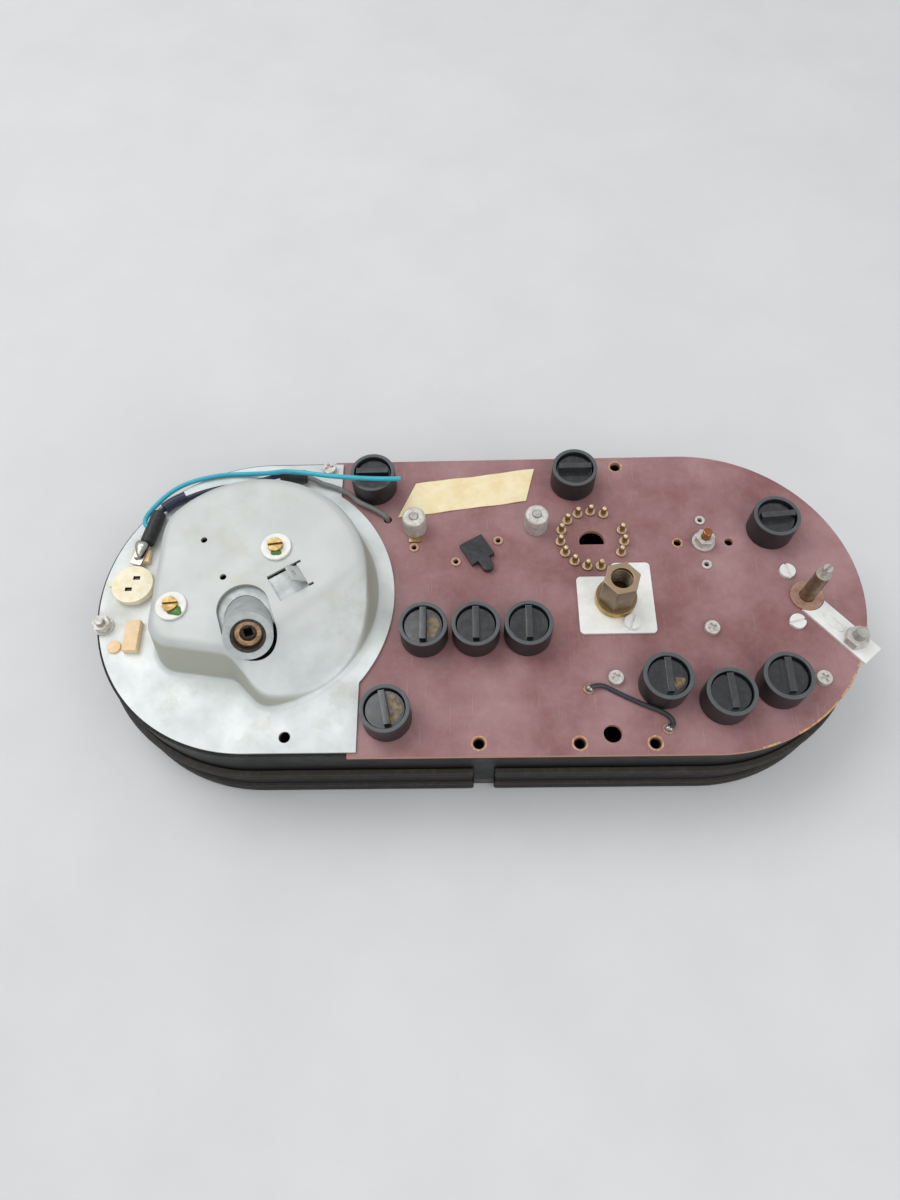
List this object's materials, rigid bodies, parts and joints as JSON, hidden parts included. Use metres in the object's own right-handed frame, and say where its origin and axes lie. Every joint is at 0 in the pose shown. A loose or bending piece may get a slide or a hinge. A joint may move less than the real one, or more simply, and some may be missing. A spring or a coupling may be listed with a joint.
{
  "type": "speedometer cluster",
  "caption": "Oblong instrument cluster lying face down, with a cable-driven drag-cup speedometer, its distance counter, small gauges, lamps and terminals on a rear circuit board.",
  "frame": {"origin": "middle of the front face, on which the part lies", "axes": "+X along the length, away from the speedometer; +Y across; +Z towards the rear"},
  "size_m": [0.2698, 0.1184, 0.0675],
  "materials": {
    "black_moulding": "satin",
    "bezel_black": "satin",
    "window": "clear",
    "rubber": "matt",
    "dial_black": "matt",
    "phenolic": "satin",
    "plated_steel": "dull plated",
    "die_cast": "cast",
    "bronze": "worn",
    "steel": "turned",
    "magnet": "matt",
    "aluminium": "spun",
    "brass": "dull",
    "plated_fastener": "zinc plated",
    "copper": "dull",
    "needle_orange": "matt",
    "drum_white": "matt",
    "drum_black": "matt",
    "white_washer": "matt",
    "cream_plastic": "satin",
    "sleeve": "satin",
    "teal_insulation": "satin",
    "blue_insulation": "satin",
    "grey_insulation": "satin",
    "dark_insulation": "satin",
    "black_plastic": "gloss",
    "gauge_case": "matt",
    "ceramic": "matt"
  },
  "bodies": {
    "cluster": {"housing": "black_moulding", "bezel": "bezel_black", "lens": "window", "seal_strip": "rubber", "dial_plate": "dial_black", "circuit_board": "phenolic", "speedometer_cover": "plated_steel", "movement_frame": "die_cast", "staff_bridge": "brass", "port_bush": "bronze", "hairspring": "brass", "odometer_axle": "steel", "odometer_drums": "drum_black", "cover_screws": "brass", "cover_washers": "white_washer", "lamp_tag": "plated_steel", "lead_sleeves": "sleeve", "loose_wire": "teal_insulation", "blue_lead": "blue_insulation", "grey_lead": "grey_insulation", "cream_clips": "cream_plastic", "lamp_collars": "black_plastic", "terminal_nuts": "plated_fastener", "studs": "brass", "blanking_plug": "black_plastic", "eyelets": "brass", "connector_pins": "brass", "union_plate": "plated_steel", "pressure_union": "brass", "hex_nuts": "plated_fastener", "cross_screws": "plated_fastener", "slotted_screws": "plated_fastener", "dimmer_body": "ceramic", "spindle_washer": "copper", "earth_strap": "plated_steel", "jumper_wire": "dark_insulation", "gauge_bodies": "gauge_case"},
    "input": {"input_spindle": "steel"},
    "rotor": {"rotor_arbor": "steel", "rotor_magnet": "magnet"},
    "pointer": {"speed_cup": "aluminium", "pointer_staff": "steel", "speed_needle": "needle_orange"},
    "counter_shaft": {"odometer_shaft": "steel"},
    "counter_drum": {"odometer_first_drum": "drum_white"},
    "lamp_1": {"lamp_holder_1": "black_plastic"},
    "lamp_2": {"lamp_holder_2": "black_plastic"},
    "lamp_3": {"lamp_holder_3": "black_plastic"},
    "lamp_4": {"lamp_holder_4": "black_plastic"},
    "lamp_5": {"lamp_holder_5": "black_plastic"},
    "lamp_6": {"lamp_holder_6": "black_plastic"},
    "lamp_7": {"lamp_holder_7": "black_plastic"},
    "lamp_8": {"lamp_holder_8": "black_plastic"},
    "lamp_9": {"lamp_holder_9": "black_plastic"},
    "lamp_10": {"lamp_holder_10": "black_plastic"},
    "cover_lamp": {"cover_lamp_holder": "cream_plastic"},
    "fuel_pointer": {"fuel_needle": "needle_orange"},
    "pressure_pointer": {"pressure_needle": "needle_orange"},
    "temperature_pointer": {"temperature_needle": "needle_orange"},
    "dimmer": {"dimmer_spindle": "brass"}
  },
  "joints": [
    {"name": "rotor_turn", "type": "hinge", "parent": "cluster", "child": "rotor", "pos_m": [-0.08, 0, 0.025], "axis": [0, 0, 1], "continuous": true},
    {"name": "input_turn", "type": "hinge", "parent": "cluster", "child": "input", "pos_m": [-0.07533, -0.01335, 0.04864], "axis": [0.2337, -0.6674, 0.7071], "continuous": true},
    {"name": "counter_shaft_turn", "type": "hinge", "parent": "cluster", "child": "counter_shaft", "pos_m": [-0.07312, -0.011, 0.0262], "axis": [0, 1, 0], "continuous": true},
    {"name": "counter_drum_turn", "type": "hinge", "parent": "cluster", "child": "counter_drum", "pos_m": [-0.08, -0.022, 0.01789], "axis": [1, 0, 0], "continuous": true},
    {"name": "pointer_swing", "type": "hinge", "parent": "cluster", "child": "pointer", "pos_m": [-0.08, 0, 0.01], "axis": [0, 0, 1], "range_deg": [0, 250], "stiffness_Nm_per_rad": 0.00006},
    {"name": "lamp_1_twist", "type": "hinge", "parent": "cluster", "child": "lamp_1", "pos_m": [-0.037, 0.0458, 0.036], "axis": [0, 0, 1], "range_deg": [0, 60]},
    {"name": "lamp_2_twist", "type": "hinge", "parent": "cluster", "child": "lamp_2", "pos_m": [0.0363, 0.0463, 0.036], "axis": [0, 0, 1], "range_deg": [0, 60]},
    {"name": "lamp_3_twist", "type": "hinge", "parent": "cluster", "child": "lamp_3", "pos_m": [0.105, 0.0244, 0.036], "axis": [0, 0, 1], "range_deg": [0, 60]},
    {"name": "lamp_4_twist", "type": "hinge", "parent": "cluster", "child": "lamp_4", "pos_m": [-0.018, -0.0152, 0.036], "axis": [0, 0, 1], "range_deg": [0, 60]},
    {"name": "lamp_5_twist", "type": "hinge", "parent": "cluster", "child": "lamp_5", "pos_m": [-0.0005, -0.0152, 0.036], "axis": [0, 0, 1], "range_deg": [0, 60]},
    {"name": "lamp_6_twist", "type": "hinge", "parent": "cluster", "child": "lamp_6", "pos_m": [0.017, -0.0152, 0.036], "axis": [0, 0, 1], "range_deg": [0, 60]},
    {"name": "lamp_7_twist", "type": "hinge", "parent": "cluster", "child": "lamp_7", "pos_m": [-0.0298, -0.0442, 0.036], "axis": [0, 0, 1], "range_deg": [0, 60]},
    {"name": "lamp_8_twist", "type": "hinge", "parent": "cluster", "child": "lamp_8", "pos_m": [0.0604, -0.0344, 0.036], "axis": [0, 0, 1], "range_deg": [0, 60]},
    {"name": "lamp_9_twist", "type": "hinge", "parent": "cluster", "child": "lamp_9", "pos_m": [0.0796, -0.04, 0.036], "axis": [0, 0, 1], "range_deg": [0, 60]},
    {"name": "lamp_10_twist", "type": "hinge", "parent": "cluster", "child": "lamp_10", "pos_m": [0.0983, -0.0349, 0.036], "axis": [0, 0, 1], "range_deg": [0, 60]},
    {"name": "cover_lamp_twist", "type": "hinge", "parent": "cluster", "child": "cover_lamp", "pos_m": [-0.1204, 0.0046, 0.037], "axis": [0, 0, 1], "range_deg": [0, 40]},
    {"name": "fuel_swing", "type": "hinge", "parent": "cluster", "child": "fuel_pointer", "pos_m": [0, 0.0276, 0.01], "axis": [0, 0, 1], "range_deg": [0, 90], "stiffness_Nm_per_rad": 0.00002},
    {"name": "pressure_swing", "type": "hinge", "parent": "cluster", "child": "pressure_pointer", "pos_m": [0.0476, -0.003, 0.01], "axis": [0, 0, 1], "range_deg": [0, 90], "stiffness_Nm_per_rad": 0.00002},
    {"name": "temperature_swing", "type": "hinge", "parent": "cluster", "child": "temperature_pointer", "pos_m": [0.081, 0.0198, 0.01], "axis": [0, 0, 1], "range_deg": [0, 90], "stiffness_Nm_per_rad": 0.00002},
    {"name": "dimmer_turn", "type": "hinge", "parent": "cluster", "child": "dimmer", "pos_m": [0.1131, -0.0024, 0.036], "axis": [0, 0, 1], "range_deg": [0, 270]}
  ],
  "couplings": [
    {"joint": "input_turn", "follows": "rotor_turn", "ratio": 1},
    {"joint": "counter_shaft_turn", "follows": "rotor_turn", "ratio": -0.041667},
    {"joint": "counter_drum_turn", "follows": "rotor_turn", "ratio": -0.0016026}
  ]
}
